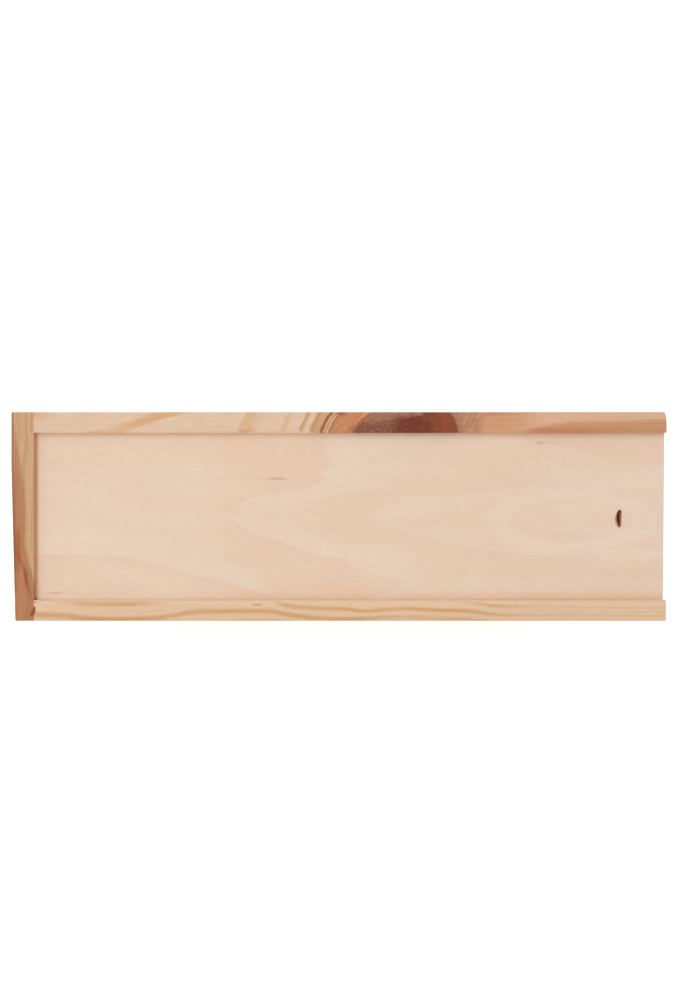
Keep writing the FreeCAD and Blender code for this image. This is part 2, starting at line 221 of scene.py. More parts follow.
def planed(finish, grain, colour, late_wood, seed):
    """Pine as the plane leaves it: fibres, streaks and resin canals along its grain.

    The grain runs along X, Y or Z as 0, 1 or 2.
    """
    along, aside, over = (finish.x, finish.y, finish.z)[grain:] + (finish.x, finish.y, finish.z)[:grain]
    fibre = finish.unevenness(along / 45, aside / 0.7, over / 0.7, 3, seed)
    streak = finish.unevenness(along / 140, aside / 5, over / 5, 2, seed + 3)
    fleck = finish.unevenness(along / 4, aside / 1.1, over / 1.1, 1, seed + 5)
    canals = finish.step(finish.unevenness(along / 9, aside / 0.45, over / 0.45, 1, seed + 7), 0.70, 0.80)
    end_grain = finish.step(abs(finish.facing[grain]), 0.6, 0.9)
    light = 1 + 0.16 * (fibre - 0.5) + 0.12 * (streak - 0.5) + 0.18 * (fleck - 0.5)
    light = light * (1 - 0.10 * canals) * (1 - 0.22 * end_grain)
    finish.relief(0.05 * fibre + 0.05 * late_wood, 0.5)
    return finish.shade(colour, light)


def shaped_board(node, softness):
    """A piece with its solid's own outline: faces merged, and the long edges softened by sandpaper."""
    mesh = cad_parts[node].data.copy()
    board = bpy.data.objects.new(node + "_wood", mesh)
    bpy.context.scene.collection.objects.link(board)
    shape = bmesh.new()
    shape.from_mesh(mesh)
    bmesh.ops.remove_doubles(shape, verts=shape.verts, dist=2e-6)
    flat, sharp, long_edge = math.radians(0.5), math.radians(20), 0.003
    bmesh.ops.dissolve_limit(shape, angle_limit=flat, verts=shape.verts, edges=shape.edges)
    weights = shape.edges.layers.float.new("bevel_weight_edge")
    for edge in shape.edges:
        if len(edge.link_faces) == 2 and edge.calc_length() > long_edge:
            edge[weights] = 1.0 if edge.calc_face_angle() > sharp else 0.0
    shape.to_mesh(mesh)
    shape.free()
    mesh.materials.clear()
    soften = board.modifiers.new("sanded_edges", "BEVEL")
    soften.limit_method = "WEIGHT"
    soften.width = softness
    soften.segments = 3
    soften.harden_normals = True
    return board


def knot_gap(finish, middle, top):
    """How far a place lies outside the knot, a cone that widens from low in the board to its top edge."""
    x, y, z = finish.x, finish.y, finish.z
    knot_x, knot_y, knot_radius, tip_z = 37.7, 30.0, 32.4, 38.0
    leans = (
        (0.0, 0.9), (0.15, 0.82), (0.2, 0.72), (0.256, 0.52), (0.318, 0.55), (0.36, 0.54), (0.456, 0.68),
        (0.53, 0.3), (0.62, 0.05), (0.75, 0.02), (0.89, 0.016), (0.96, 0.05), (1.0, 0.07),
    )
    lean = 5 * finish.curve(x, -165, 15, leans)
    across = x - knot_x - lean * (y - middle)
    radius = knot_radius * ((z - tip_z) / (top - tip_z))
    wobble = finish.unevenness(x / 6, y / 5, z / 14, 2, 2.0) - 0.5
    tucked_in = 0.7 * finish.step(x, 54, 66)
    return (across**2.0 + (y - knot_y) ** 2.0) ** 0.5 - radius + 1.7 * wobble + tucked_in


def far_side_rings(finish, free, top, upward, on_edge):
    """The dark part of each growth ring, crowded near the knot, and the one that spreads into a wing."""
    y, z = finish.y, finish.z
    pith_y, pith_z, ring_width, crowding = 15.0, 20.0, 6.0, 114.0
    aside = (y - pith_y) ** 2.0
    sunk = (aside + (top - pith_z) ** 2) ** 0.5 - (aside + (z - pith_z) ** 2.0) ** 0.5
    pushed = 3.2 * finish.step(free, 44, 54)
    part = (crowding / (free - pushed) + sunk / ring_width).fraction()
    thick = (14 / free).at_least(0.35 * (1 - upward)) + 0.28 * finish.between(free, 48, 68, 5)
    late_wood = (1 - finish.step(part, 0.2 * thick, thick)) * finish.step(part, 0, 0.04)
    late_wood = late_wood * finish.step(free, 18.0, 19.0) * (1 - on_edge * finish.step(free, 80, 95))
    late_wood = late_wood * (1 - 0.5 * finish.stripe(free, 38, 6) - 0.4 * finish.between(free, 48, 75, 5))
    wing = finish.step(free, 125, 114) * finish.step(free, 105.3, 108.3)
    wing = wing * finish.step(finish.x, -144, -132) * on_edge
    return late_wood.at_least(0.85 * wing), wing


def wood_before_knot(finish, middle, gap, free, late_wood, wing, on_edge):
    """Pale wood with its rings, redder close to the knot, with the dark lines that hem the knot in."""
    x, y, z = finish.x, finish.y, finish.z
    slanting = x - 0.9 * (y - middle)
    veil = finish.step(finish.unevenness(slanting / 2.5, y / 9, z / 40, 2, 5.0), 0.42, 0.7)
    brown = finish.step(finish.unevenness(slanting / 1.6, y / 9, z / 40, 2, 25.0), 0.5, 0.7)
    foot = finish.between(x, -53, -45.5, 2) * finish.stripe(y, 45.9, 1.0)
    corner = finish.step(x, -151, -160) * finish.step(y, 50.5, 54)
    plain = finish.layers(
        finish.blend(finish.step(free, 13.6, 12.4), tone(228, 197, 170), tone(199, 132, 90)),
        (0.85 * finish.between(free, 18.6, 23.4, 0.6), tone(202, 157, 115)),
        (finish.step(free, 13, 10) * veil * (0.25 + 0.75 * on_edge), tone(214, 152, 110)),
        (0.5 * brown * finish.step(free, 9, 4), tone(176, 104, 70)),
        (0.7 * foot * on_edge, tone(206, 142, 104)),
        (0.85 * corner * on_edge, tone(221, 178, 128)),
        (finish.step(free, 19.2, 17.6) * finish.step(free, 13.2, 14.2), tone(222, 178, 142)),
    )
    clouds = finish.unevenness(x / 9, y / 2.5, z / 8, 3, 20.0) - 0.5
    plain = finish.shade(plain, 1 + 0.2 * clouds)

    late = finish.blend(finish.step(free, 40, 20), tone(217, 169, 120), tone(198, 150, 106))
    late = finish.blend(0.8 * wing * finish.step(y, 51, 46), late, tone(224, 180, 142))
    hems = finish.stripe(free, 16.9, 1.5) + 0.6 * finish.stripe(free, 14.9, 0.6)
    hems = hems + 0.8 * finish.stripe(free, 13.1, 0.9)
    wedge = finish.stripe(x, 0.8, 4.0) * finish.step(y, 53.0, 55.2) * on_edge
    dark_lines = (hems * (0.35 + 0.65 * on_edge)).at_least(wedge)
    # Painted highlight: a pale strip along the inner arris over the lid, where light catches the rounded
    # edge.
    arris_painted_highlight = finish.stripe(y, 44.9, 1.1) * finish.between(x, -47, -14, 5) * on_edge
    return finish.layers(
        plain,
        (late_wood, late),
        (0.9 * dark_lines, tone(156, 84, 48)),
        (0.8 * finish.step(gap, 2.6, 0.8), tone(160, 92, 64)),
        (0.55 * arris_painted_highlight, tone(229, 199, 175)),
    )


def wood_beyond_knot(finish, middle, gap, free, late_wood, sway, upward, on_edge):
    """Redder wood, paler along the outer arris, with a fan of fine dark lines that leaves the knot."""
    x, y, z = finish.x, finish.y, finish.z
    streaks = finish.unevenness(x / 60, y / 0.9, z / 3, 2, 18.0) - 0.5
    sheds = ((0.0, 0.02), (0.06, 0.2), (0.2, 0.38), (0.34, 0.48), (0.55, 0.51), (1.0, 0.55))
    shed = 45 + 10.5 * finish.curve(x, 97.7, 174, sheds)
    below_shed = finish.step(y - shed + 2 * streaks, 1.7, -1.7)
    core = finish.step(x, 96, 108) * finish.step(x, 165, 128) * finish.step(y + 2 * streaks, 49.0, 45.4)
    fan_line = finish.unevenness((x - 0.6 * (y - middle)) / 1.1, y / 12, z / 40, 2, 8.0)
    fan = finish.blend(finish.step(fan_line, 0.3, 0.7), tone(178, 123, 94), tone(198, 146, 114))
    red_line = 55.8 - 0.023 * (86.8 - x) ** 2.0
    red = finish.stripe(y - red_line, -0.3, 1.7) * finish.between(x, 75, 88, 3)
    end_lines = (finish.stripe(y, 51.5, 0.5) + finish.stripe(y, 49.6, 0.4)) * finish.step(x, 156, 170)
    wood = finish.layers(
        finish.blend(below_shed, tone(221, 179, 147), tone(202, 147, 109)),
        (finish.step(x + sway, 112, 92), tone(209, 157, 119)),
        (0.8 * core * on_edge, tone(191, 127, 88)),
        (finish.step(free, 15, 8), fan),
        (finish.step(gap + 4 * (fan_line - 0.5), 4.4, 1.6), tone(175, 122, 98)),
        (0.45 * red * on_edge, tone(192, 122, 86)),
        (0.5 * end_lines * on_edge, tone(182, 122, 88)),
        (0.28 * late_wood * (1 - upward), tone(176, 116, 78)),
    )
    cloudy = finish.unevenness(x / 11, y / 1.7, z / 5, 2, 19.0) - 0.5
    return finish.shade(wood, 1 + 0.2 * streaks + 0.2 * cloudy)


def knot_wood(finish):
    """The branch cut through: mottled grey-brown wood on one side of a crown line, its red heart inside."""
    x, y, z = finish.x, finish.y, finish.z
    mottle = finish.unevenness(x / 3.6, y / 2.0, z / 6, 3, 4.0)
    speckle = finish.unevenness((x - 0.8 * y) / 0.8, y / 1.4, z / 2, 3, 6.0)
    grit = finish.unevenness(x / 1.3, y / 1.1, z / 3, 2, 26.0)
    ragged = mottle - 0.5
    crown = 53.0 + 0.009 * (x - 30) ** 2.0
    inside = finish.step(x + 14 * ragged, 25, 34) * finish.step(y - crown + 5 * ragged, 1.6, -1.6)
    bark = finish.layers(
        finish.blend(finish.step(y + 6 * ragged, 53.5, 48), tone(160, 108, 86), tone(126, 70, 50)),
        (0.45 * finish.step(speckle, 0.46, 0.66), tone(184, 140, 116)),
    )
    heart = finish.layers(
        finish.blend(finish.step(x + 12 * ragged, 60, 42), tone(143, 70, 35), tone(112, 47, 28)),
        (0.25 * finish.step(grit, 0.45, 0.7), tone(168, 94, 58)),
        (0.5 * finish.step(x, 55, 60), tone(128, 68, 44)),
    )
    return finish.shade(finish.blend(inside, bark, heart), 0.6 + 0.5 * mottle + 0.3 * speckle)


def far_side_wood():
    """Pale wood before the knot, redder wood beyond it and the knot between them."""
    finish = Finish("far_side_pine", 0.62)
    x, y, z = finish.x, finish.y, finish.z
    lowest, highest = (1000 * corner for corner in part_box("far_side"))
    middle, top = (lowest.y + highest.y) / 2, highest.z
    upward = finish.step(finish.facing[2], 0.5, 0.8)
    on_edge = finish.step(z, top - 7, top - 2)
    gap = knot_gap(finish, middle, top)
    free = gap.at_least(1.5)
    late_wood, wing = far_side_rings(finish, free, top, upward, on_edge)
    down = (top - 3 - z).at_least(0)
    sway = finish.unevenness(x / 70, y / 30, z / 24, 3, 17.0) - 0.5
    sway = sway * (1.6 * down).at_most(70)
    past_knot = finish.step(x + sway - 0.5 * down, 48, 62 + 1.2 * down)
    before = wood_before_knot(finish, middle, gap, free, late_wood, wing, on_edge)
    beyond = wood_beyond_knot(finish, middle, gap, free, late_wood, sway, upward, on_edge)
    colour = planed(finish, 0, finish.blend(past_knot, before, beyond), late_wood, 1.0)
    colour = finish.blend(finish.step(gap, 0.9, -0.8), colour, knot_wood(finish))
    # Painted light: the upper part of the rail's inner face, which faces the lid, is painted 35 % lighter to
    # lift the shade on it.
    lip_painted_light = finish.step(finish.facing[1], -0.5, -0.9) * finish.step(z, top - 6, top - 4)
    return finish.paint(finish.shade(colour, 1 + 0.35 * lip_painted_light))


far_side = shaped_board("far_side", 0.0003)
far_side.data.materials.append(far_side_wood())
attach(far_side, "box")
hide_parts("far_side")


# Near side. The same board from a plainer part of the tree: flat-sawn pine with slow wavy rings and no
# knot, 0.4 mm shorter than the far side. A bead of resin sits in its joint with the closed end.


def resin(finish, colour):
    """The brown resin that filled a small tear where the near side meets the closed end."""
    x, y, z = finish.x, finish.y, finish.z
    ragged = finish.unevenness(x / 2.5, y / 1.8, z / 2, 3, 15.0) - 0.5
    across = (x + 163.0 - 0.3 * (y + 50) + 1.6 * ragged) / (1.15 - 0.12 * (y + 50.5))
    along = (y + 50.6 + 1.6 * ragged) / 2.9
    spot = finish.step((across**2.0 + along**2.0) ** 0.5, 1.2, 0.75) * finish.step(z, 98, 99.2)
    return finish.blend(0.95 * spot, colour, tone(150, 84, 32))


def near_side_rings(finish, top, upward):
    """The dark lines along the board. Each has a number, counted inwards, and its own weak places."""
    x, y, z = finish.x, finish.y, finish.z
    bends = (
        (0.0, 0.7), (0.044, 0.66), (0.091, 0.44), (0.139, 0.4), (0.186, 0.46), (0.224, 0.64), (0.265, 0.9),
        (0.313, 0.94), (0.36, 0.94), (0.398, 0.74), (0.422, 0.6), (0.454, 0.46), (0.484, 0.4),
        (0.528, 0.44), (0.578, 0.56), (0.634, 0.46), (0.681, 0.4), (0.746, 0.12), (0.785, 0.1), (1.0, 0.06),
    )
    gaps = (
        (0.0, 0.42), (0.09, 0.95), (0.2, 1.0), (0.3, 0.62), (0.385, 0.18), (0.44, 0.3), (0.48, 0.4),
        (0.53, 0.0), (0.6, 0.08), (1.0, 0.12),
    )
    left, right = -164, 175
    first_line = -58 + 8 * finish.curve(x, left, right, bends)
    spacing = 4 + 4 * finish.curve(x, left, right, gaps)
    drift = finish.unevenness(x / 90, y / 25, z / 30, 2, 9.0) - 0.5
    ring = 1 + (y - first_line) / spacing + (top - z) / 14 + 2.4 * (1 - upward) * drift
    away = abs((ring + 0.5).fraction() - 0.5) * spacing * (2 - upward)
    number = (ring + 0.5).whole()

    def is_line(wanted):
        return finish.stripe(number, wanted, 0.5)

    rests = (1 - finish.between(x, -142, -100, 14)) * finish.step(x, -27, -37)
    weak_places = (
        (1 - upward) * finish.unevenness(x / 60, y / 9, z / 5, 2, 13.0),
        0.6 * upward * is_line(0),
        0.45 * upward * is_line(1) * finish.step(x, 5, 30),
        is_line(2) * rests,
        is_line(3) * (1 - finish.step(x, 62, 85)),
        0.7 * upward * finish.step(x, 70, 110),
    )
    strength = 0.82 + 0.8 * (finish.unevenness(x / 35, number, 0, 1, 12.0) - 0.5)
    for weak in weak_places:
        strength = strength * (1 - weak)
    wide = 2.2 + 0.7 * finish.step(x, -120, -150)
    wide = wide - 0.4 * finish.step(x, -20, 20) - 0.6 * finish.step(x, 70, 110)
    fine_lines = finish.unevenness(x / 160, y / 0.8, z / 0.8, 2, 14.0) - 0.5
    fine_lines = (0.25 + 0.5 * finish.step(x, 60, 110)) * fine_lines
    return finish.step(away, wide, 0) * strength + fine_lines


def near_side_wood():
    finish = Finish("near_side_pine", 0.62)
    x, y, z = finish.x, finish.y, finish.z
    top = 1000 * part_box("near_side")[1].z
    late_wood = near_side_rings(finish, top, finish.step(finish.facing[2], 0.5, 0.8))
    early = finish.blend(finish.step(y, -54, -46), tone(228, 194, 161), tone(231, 200, 169))
    late = finish.blend(finish.step(y, -54, -50), tone(204, 152, 100), tone(213, 159, 100))
    topmost = finish.step(z, top - 2, top - 0.5)
    fleck = finish.between(x, -46, -41.5, 0.8) * finish.stripe(y, -47.2, 0.6) * topmost
    # Painted shade: a dark dash on the top face by the lid's corner at the closed end, where the gap there
    # lies in shade.
    corner_painted_shade = finish.between(x, -163.2, -161.4, 0.5) * finish.stripe(y, -45.8, 0.5) * topmost
    colour = finish.layers(
        finish.blend(late_wood, early, late),
        (0.7 * fleck, tone(206, 118, 90)),
        (0.6 * corner_painted_shade, tone(140, 95, 60)),
    )
    return finish.paint(resin(finish, planed(finish, 0, colour, late_wood, 11.0)))


near_side = shaped_board("near_side", 0.0003)
near_side.data.materials.append(near_side_wood())
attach(near_side, "box")
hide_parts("near_side")


# Closed end. Redder pine with its grain running across the box, 111 by 100 by 12 mm. It covers the ends of
# the sides, and its outer face was sanded back by 2 mm towards the near corner.


def ring_lines(finish, pith_x, ring_width, seed):
    """Growth rings of a board whose grain runs along Y. Their pith lies beside the board, low down."""
    pith_z = 20
    reach = ((finish.x - pith_x) ** 2.0 + (finish.z - pith_z) ** 2.0) ** 0.5
    drift = finish.unevenness(finish.x / 25, finish.y / 60, finish.z / 25, 2, seed) - 0.5
    part = ((reach + 8 * drift) / ring_width).fraction()
    return finish.step(part, 0.45, 0.9) * finish.step(part, 1.0, 0.92)


def red_wood(finish, lowest, highest, inset, upward):
    """The red wood along the outer face, which the paler wood behind it meets in a wandering border."""
    x, y, z = finish.x, finish.y, finish.z
    borders = (
        (0.0, 0.94), (0.15, 0.91), (0.2, 0.84), (0.25, 0.73), (0.291, 0.66), (0.365, 0.586), (0.5, 0.571),
        (0.581, 0.543), (0.724, 0.393), (0.868, 0.2), (1.0, 0.071),
    )
    border = lowest.x + 14 * finish.curve(y, lowest.y, highest.y, borders)
    wander = finish.unevenness(x / 1.6, y / 45, z / 9, 2, 22.0) - 0.5
    is_red = finish.step(x - border - (highest.z - z) / 9 + 2.6 * wander, 1.0, -1.0)
    red = finish.blend(finish.step(y, 30, -30), tone(190, 138, 99), tone(185, 127, 87))
    colour = finish.blend(is_red, tone(208, 167, 127), finish.shade(red, 1 + 0.24 * wander))

    late_wood = ring_lines(finish, -110, 3.0, 21.0) * (0.6 - 0.35 * upward)
    brown = finish.stripe(x, -164.3, 0.9) * finish.step(y, 43, 46)
    pale = finish.stripe(x, -165.7, 1.0) * finish.step(y, 40, 46)
    patch = 0.75 * finish.between(y, -28, -8, 5) + 0.3 * finish.between(y, -8, 25, 8)
    patch = finish.step(inset + 3 * wander, 5.5, 2.5) * patch
    path = (
        (0.0, 0.09), (0.03, 0.108), (0.207, 0.283), (0.35, 0.467), (0.473, 0.55), (0.653, 0.6), (0.83, 0.733),
        (1.0, 0.88),
    )
    streak_x = 12 * finish.curve(y, -16, -46, path) - 174
    streak = finish.stripe(x - streak_x + 0.8 * wander, 0, 1.4) * finish.between(y, -43, -19, 4)
    streak = (0.4 + 0.5 * finish.stripe(y, -32.5, 7)) * streak
    colour = finish.layers(
        colour,
        (late_wood, tone(166, 108, 72)),
        (0.35 * brown * upward, tone(170, 120, 90)),
        (0.5 * pale * upward, tone(218, 182, 146)),
        (patch * upward, tone(162, 94, 50)),
        (streak * upward, tone(154, 79, 36)),
    )
    return colour, late_wood


def closed_end_wood():
    finish = Finish("closed_end_pine", 0.62)
    x, y, z = finish.x, finish.y, finish.z
    lowest, highest = (1000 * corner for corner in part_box("closed_end"))
    skew_cut, skew_run = 2.1, 83.0
    along_skew = ((lowest.y + skew_run - y) / skew_run).at_least(0).at_most(1)
    inset = x - lowest.x - skew_cut * along_skew
    upward = finish.step(finish.facing[2], 0.5, 0.8)
    colour, late_wood = red_wood(finish, lowest, highest, inset, upward)
    colour = planed(finish, 1, colour, late_wood, 21.0)
    topmost = finish.step(z, highest.z - 1.5, highest.z - 0.4)
    arris = finish.step(inset, 1.8, 0.8) * finish.step(y, -46, -36) * topmost
    dark = finish.blend(finish.step(y, 25, 0), tone(150, 104, 82), tone(142, 86, 56))
    colour = finish.blend(0.56 * arris, colour, dark)
    # Painted light: the top of the inner face over the lid is painted 30 % lighter to lift the shade on it.
    lip_painted_light = finish.step(finish.facing[0], 0.5, 0.9) * finish.step(z, highest.z - 3, highest.z - 1)
    return finish.paint(resin(finish, finish.shade(colour, 1 + 0.3 * lip_painted_light)))


closed_end = shaped_board("closed_end", 0.0003)
closed_end.data.materials.append(closed_end_wood())
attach(closed_end, "box")
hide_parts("closed_end")


# Open end. The low pine board between the sides, 90 by 91 by 11 mm, that the lid passes over. It is nailed
# through both sides and holds one end of the bottom in its groove.


def open_end_wood():
    finish = Finish("open_end_pine", 0.62)
    late_wood = 0.7 * ring_lines(finish, 110, 3.4, 33.0)
    colour = finish.blend(late_wood, tone(224, 190, 158), tone(194, 142, 100))
    return finish.paint(planed(finish, 1, colour, late_wood, 33.0))


open_end = shaped_board("open_end", 0.0003)
open_end.data.materials.append(open_end_wood())
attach(open_end, "box")
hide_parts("open_end")


# Nails. Twelve round wire nails of 28 mm, three up each corner, driven until their flat heads lay a little
# below the wood: through the closed end into the sides, and through the sides into the open end.

nail_length = 0.028


def nail_tree():
    """A column of nails pointing along +X, their heads' tops at X = 0, from lathed outlines."""
    tree = bpy.data.node_groups.new("nail_column", "GeometryNodeTree")
    face = tree.interface
    sizes = {
        "First height": 0.022,
        "Spacing": 0.028,
        "Length": nail_length,
        "Point": 0.002,
        "Shank radius": 0.0007,
        "Head radius": 0.0014,
        "Head thickness": 0.0007,
    }
    face.new_socket("Nails", in_out="INPUT", socket_type="NodeSocketInt").default_value = 3
    for name, size in sizes.items():
        face.new_socket(name, in_out="INPUT", socket_type="NodeSocketFloat").default_value = size
    face.new_socket("Steel", in_out="INPUT", socket_type="NodeSocketMaterial")
    face.new_socket("Column", in_out="OUTPUT", socket_type="NodeSocketGeometry")
    given = tree.nodes.new("NodeGroupInput").outputs

    def add(kind, links=(), **settings):
        made = tree.nodes.new(kind)
        for name, setting in settings.items():
            setattr(made, name, setting)
        for key, source in dict(links).items():
            if hasattr(source, "is_linked"):
                tree.links.new(source, made.inputs[key])
            else:
                made.inputs[key].default_value = source
        return made

    def less(first, second):
        return add("ShaderNodeMath", {0: first, 1: second}, operation="SUBTRACT").outputs[0]

    def turned(radius, end_radius, length, start, sides=20):
        """A turned piece of the nail: a cylinder or cone along X."""
        outline = {"Vertices": sides, "Radius Top": end_radius, "Radius Bottom": radius, "Depth": length}
        cone = add("GeometryNodeMeshCone", outline, fill_type="NGON").outputs["Mesh"]
        place = add("ShaderNodeCombineXYZ", {"X": start}).outputs[0]
        moved = {"Geometry": cone, "Translation": place, "Rotation": (0, math.pi / 2, 0)}
        return add("GeometryNodeTransform", moved).outputs[0]

    to_point = less(given["Length"], given["Point"])
    under_head = less(to_point, given["Head thickness"])
    head = turned(given["Head radius"], given["Head radius"], given["Head thickness"], 0.0)
    shank = turned(given["Shank radius"], given["Shank radius"], under_head, given["Head thickness"])
    point = turned(given["Shank radius"], 0.0, given["Point"], to_point)
    whole = add("GeometryNodeJoinGeometry")
    for piece in (head, shank, point):
        tree.links.new(piece, whole.inputs[0])

    first = add("ShaderNodeCombineXYZ", {"Z": given["First height"]})
    step = add("ShaderNodeCombineXYZ", {"Z": given["Spacing"]})
    heights = {"Count": given["Nails"], "Start Location": first.outputs[0], "Offset": step.outputs[0]}
    column = add("GeometryNodeMeshLine", heights)
    nails = add("GeometryNodeInstanceOnPoints", {"Points": column.outputs[0], "Instance": whole.outputs[0]})
    real = add("GeometryNodeRealizeInstances", {"Geometry": nails.outputs[0]})
    painted = add("GeometryNodeSetMaterial", {"Geometry": real.outputs[0], "Material": given["Steel"]})
    tree.links.new(painted.outputs[0], tree.nodes.new("NodeGroupOutput").inputs[0])
    return tree


nail_steel = Finish("nail_steel", 0.38, 0.5)
nail_steel.surface.inputs["Metallic"].default_value = 1.0
rubbed = nail_steel.unevenness(nail_steel.x / 0.8, nail_steel.y / 0.8, nail_steel.z / 0.8, 3, 61.0)
nail_steel.paint(nail_steel.blend(rubbed, tone(132, 128, 124), tone(186, 182, 176)))

column_tree = nail_tree()
steel_socket = next(item.identifier for item in column_tree.interface.items_tree if item.name == "Steel")
turns = {
    "closed_end_far_nails": 0,
    "closed_end_near_nails": 0,
    "open_end_far_nails": -90,
    "open_end_near_nails": 90,
}
nails = bmesh.new()
for name, turn in turns.items():
    column = bpy.data.objects.new(name + "_column", bpy.data.meshes.new(name + "_column"))
    bpy.context.scene.collection.objects.link(column)
    grown = column.modifiers.new("nails", "NODES")
    grown.node_group = column_tree
    grown[steel_socket] = nail_steel.material
    ready = column.evaluated_get(bpy.context.evaluated_depsgraph_get())
    made = bpy.data.meshes.new_from_object(ready)
    heading = Matrix.Rotation(math.radians(turn), 4, "Z")
    lowest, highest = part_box(name)
    head = (lowest + highest) / 2 - heading @ Vector((nail_length / 2, 0, 0))
    head.z = 0
    made.transform(Matrix.Translation(head) @ heading)
    nails.from_mesh(made)
    bpy.data.objects.remove(column)
nail_mesh = bpy.data.meshes.new("nails")
bmesh.ops.recalc_face_normals(nails, faces=nails.faces)
nails.to_mesh(nail_mesh)
nails.free()
nail_mesh.materials.append(nail_steel.material)
all_nails = bpy.data.objects.new("nails", nail_mesh)
bpy.context.scene.collection.objects.link(all_nails)
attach(all_nails, "box")
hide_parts(*turns)


# Bottom. A plywood panel, 4 mm thick, slid into the four lower grooves before the last board went on. It is
# held there loose, without nails.


def plywood(finish, under, figure, seed):
    """Three veneers: pale faces with their grain along the box and a core whose grain runs across it."""
    thick, veneer = 4.0, 1.2
    x, y, depth = finish.x, finish.y, finish.z - under
    fibre = finish.unevenness(x / 7, y / 0.8, depth / 0.8, 3, seed)
    pores = finish.unevenness(x / 1.5, y / 0.9, depth / 0.9, 1, seed + 4)
    cloud = finish.unevenness(x / 40, y / 14, depth / 20, 2, seed + 2)
    face = finish.blend(figure, tone(236, 214, 194), tone(234, 205, 180))
    face = finish.shade(face, 1 + 0.12 * (fibre - 0.5) + 0.12 * (pores - 0.5) + 0.06 * (cloud - 0.5))
    core_grain = finish.unevenness(x / 0.8, y / 0.8, depth / 0.5, 2, seed + 1)
    core = finish.blend(core_grain, tone(184, 134, 92), tone(216, 176, 136))
    in_core = finish.between(depth, veneer, thick - veneer, 0.05)
    edge = 1 - finish.step(abs(finish.facing[2]), 0.4, 0.6)
    finish.relief(0.03 * fibre, 0.5)
    return finish.blend(in_core * edge, face, core)


def bottom_wood():
    finish = Finish("bottom_plywood", 0.55)
    under = 1000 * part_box("bottom_panel")[0].z
    sweep = finish.unevenness(finish.x / 160, finish.y / 45, 0, 1, 41.0)
    part = (12 * sweep + finish.y / 30).fraction()
    figure = finish.step(part, 0.3, 0.9) * finish.step(part, 1.0, 0.92)
    return finish.paint(plywood(finish, under, figure, 41.0))


bottom_panel = shaped_board("bottom_panel", 0.0002)
bottom_panel.data.materials.append(bottom_wood())
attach(bottom_panel, "box")
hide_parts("bottom_panel")


# Lid. The same plywood with eased edges, its veneer peeled so that faint arches run back from the front. A
# hot cutter sank the half-moon notch for a fingernail and left it scorched. Painted light and painted shade
# are laid on the notch and on the lid beside the boards that stand over it.


def lid_figure(finish):
    """How brown the veneer is, 0 to 1: nested arches, each sharp on its outside, and wood that drifts by."""
    x, y, z = finish.x, finish.y, finish.z
    ragged = finish.unevenness(x / 12, y / 1.2, z / 9, 3, 49.0) - 0.5
    warp = finish.unevenness(x / 45, y / 18, z / 20, 1, 51.0) - 0.5
    arch, first_arch, first_tip, taper = 10, 30, -51.3, 0.139
    rise = (first_arch - taper * (x - first_tip)).at_least(0)
    low_flare = 0.0178 * (-12.5 - y).at_least(0) ** 2.0
    high_flare = 0.78 * (y - 17.5).at_least(0)
    blunt = 2.2 * finish.step(((x + 43) ** 2.0 + (y - 3) ** 2.0) ** 0.5, 13, 7)
    radius = ((y + 1) ** 2.0 + rise**2.0) ** 0.5 - low_flare - high_flare - blunt + 5 * warp + 2 * ragged
    depths = ((0.0, 0.9), (0.06, 0.74), (0.25, 0.62), (0.5, 0.42), (0.78, 0.04), (1.0, 0.0))
    mean = 0.52
    inside = finish.curve((radius / arch).fraction(), 0, 1, depths) - mean
    inside = mean + inside * (0.4 + 0.6 * finish.step(radius, 23, 29))
    beside = finish.step(x, -85, -35) * finish.step(x, 45, 0) * finish.step(radius, 42, 33)
    upper_left = finish.step(y, 24, 32) * finish.step(x, -30, -60)
    outside = 0.34 + 0.5 * beside + 0.6 * warp + 0.22 * upper_left
    in_or_out = {0: finish.step(radius, first_arch - 0.4, first_arch + 0.4), 2: inside, 3: outside}
    figure = Amount(finish, finish.node("Mix", in_or_out).outputs[0])

    band = y + 20.3 + 0.15 * (x + 122).at_least(0) ** 1.12 + 1.5 * ragged
    paler = finish.step(band, -0.3, 0.4) * finish.step(band, 15, 6)
    darker = finish.step(band, 0.1, -0.5) * finish.step(band, -9, -1)
    oval = (((x - 125) / 41) ** 2.0 + ((y + 2 + 1.5 * ragged) / 14.3) ** 2.0) ** 0.5
    eye = (((x - 106) / 17) ** 2.0 + ((y + 2.5 + ragged) / 7.5) ** 2.0) ** 0.5
    drift = finish.unevenness(x / 50, y / 4.5, z / 9, 3, 53.0) - 0.5
    changes = (
        (0.4 * darker - 0.6 * paler) * finish.step(x, -32, -50),
        0.15 * finish.stripe(radius, 22, 3),
        0.25 * finish.step(x, 18, 45) * finish.step(y, -22, -30),
        -0.4 * finish.stripe(oval, 0.97, 0.25),
        0.3 * finish.step(eye, 1.1, 0.6),
        0.9 * drift,
        0.3 * finish.step(y + 0.2 * x, 59.5, 62),
    )
    for change in changes:
        figure = figure + change
    return figure


